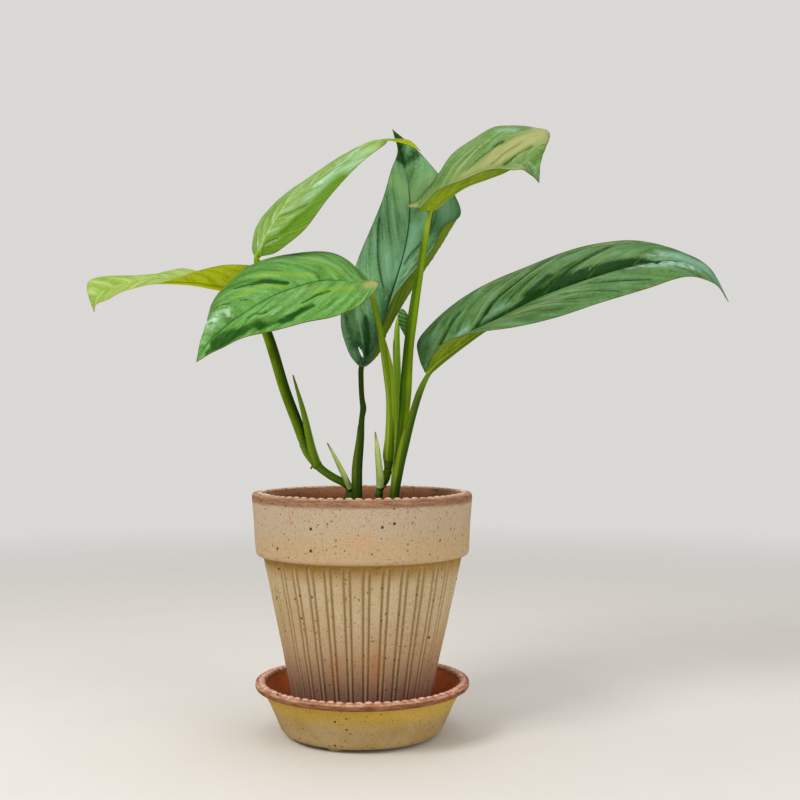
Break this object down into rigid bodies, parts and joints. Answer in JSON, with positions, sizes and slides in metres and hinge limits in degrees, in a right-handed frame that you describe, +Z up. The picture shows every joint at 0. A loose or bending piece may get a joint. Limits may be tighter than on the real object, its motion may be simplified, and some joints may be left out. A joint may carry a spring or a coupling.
{
  "type": "potted monstera",
  "caption": "Young monstera with whole pointed leaves on long stalks, growing in a fluted clay pot with a beaded rim that stands in its clay saucer.",
  "frame": {"origin": "On the pot's vertical axis, level with the surface that the saucer's feet stand on", "axes": "+Z up; the plant is seen from the front along +Y, with +X to the right, towards the longest leaf"},
  "size_m": [0.4094, 0.14, 0.3931],
  "materials": {
    "saucer_clay": "matte",
    "pot_clay": "matte",
    "soil": "matte",
    "stem": "satin",
    "leaf_pale": "satin",
    "leaf_mid": "satin",
    "leaf_dark": "satin"
  },
  "bodies": {
    "root": {"saucer": "saucer_clay", "pot": "pot_clay", "soil": "soil", "stem_left": "stem", "stem_middle": "stem", "leaf_far_left": "leaf_pale", "leaf_front_left": "leaf_mid", "leaf_upper_left": "leaf_pale", "leaf_back": "leaf_dark", "leaf_right": "leaf_dark", "leaf_upper_right": "leaf_mid", "leaf_young": "leaf_mid"}
  },
  "joints": []
}
